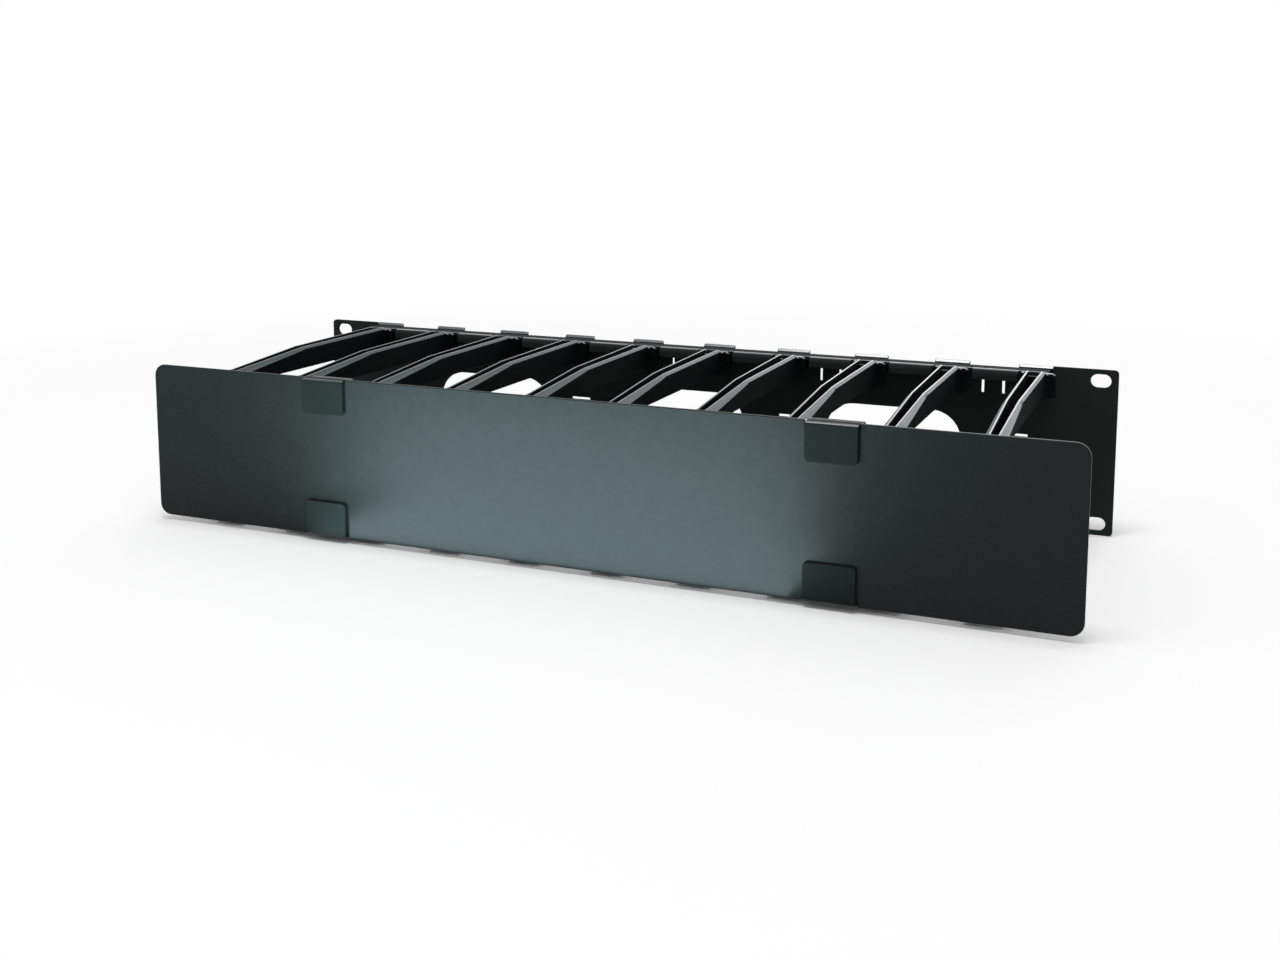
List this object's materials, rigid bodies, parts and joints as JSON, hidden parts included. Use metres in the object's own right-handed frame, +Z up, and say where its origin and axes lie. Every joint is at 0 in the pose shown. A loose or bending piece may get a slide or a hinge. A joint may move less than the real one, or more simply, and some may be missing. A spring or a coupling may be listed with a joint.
{
  "type": "horizontal cable manager",
  "caption": "Horizontal rack cable manager: steel back plate with cable windows, rows of plastic fingers above and below, and a flat hinged front cover.",
  "frame": {"origin": "middle of the back plate's front face, at the centre of the four rack slots", "axes": "+X along the rack width to the right seen from the front, +Y to the rear of the rack, +Z up"},
  "size_m": [0.4848, 0.1698, 0.0882],
  "materials": {
    "plate_paint": "fine-textured black powder coat, satin",
    "cover_paint": "smooth black powder coat, satin",
    "finger_plastic": "glossy black moulding",
    "clip_plastic": "semi-gloss black moulding",
    "rod_steel": "blackened steel, satin"
  },
  "bodies": {
    "rack_frame": {"back_plate": "plate_paint", "finger_bottom_01": "finger_plastic", "finger_bottom_02": "finger_plastic", "finger_bottom_03": "finger_plastic", "finger_bottom_04": "finger_plastic", "finger_bottom_05": "finger_plastic", "finger_bottom_06": "finger_plastic", "finger_bottom_07": "finger_plastic", "finger_bottom_08": "finger_plastic", "finger_bottom_09": "finger_plastic", "finger_bottom_10": "finger_plastic", "finger_top_01": "finger_plastic", "finger_top_02": "finger_plastic", "finger_top_03": "finger_plastic", "finger_top_04": "finger_plastic", "finger_top_05": "finger_plastic", "finger_top_06": "finger_plastic", "finger_top_07": "finger_plastic", "finger_top_08": "finger_plastic", "finger_top_09": "finger_plastic", "finger_top_10": "finger_plastic", "hinge_rod_lower_left": "rod_steel", "hinge_rod_lower_right": "rod_steel", "hinge_rod_upper_left": "rod_steel", "hinge_rod_upper_right": "rod_steel"},
    "cover_door": {"clip_lower_left": "clip_plastic", "clip_lower_right": "clip_plastic", "clip_upper_left": "clip_plastic", "clip_upper_right": "clip_plastic", "cover": "cover_paint"}
  },
  "joints": [
    {"name": "cover_hinge", "type": "hinge", "parent": "rack_frame", "child": "cover_door", "pos_m": [0, -0.1545, 0.0358], "axis": [-1, 0, 0], "range_deg": [0, 110]}
  ]
}
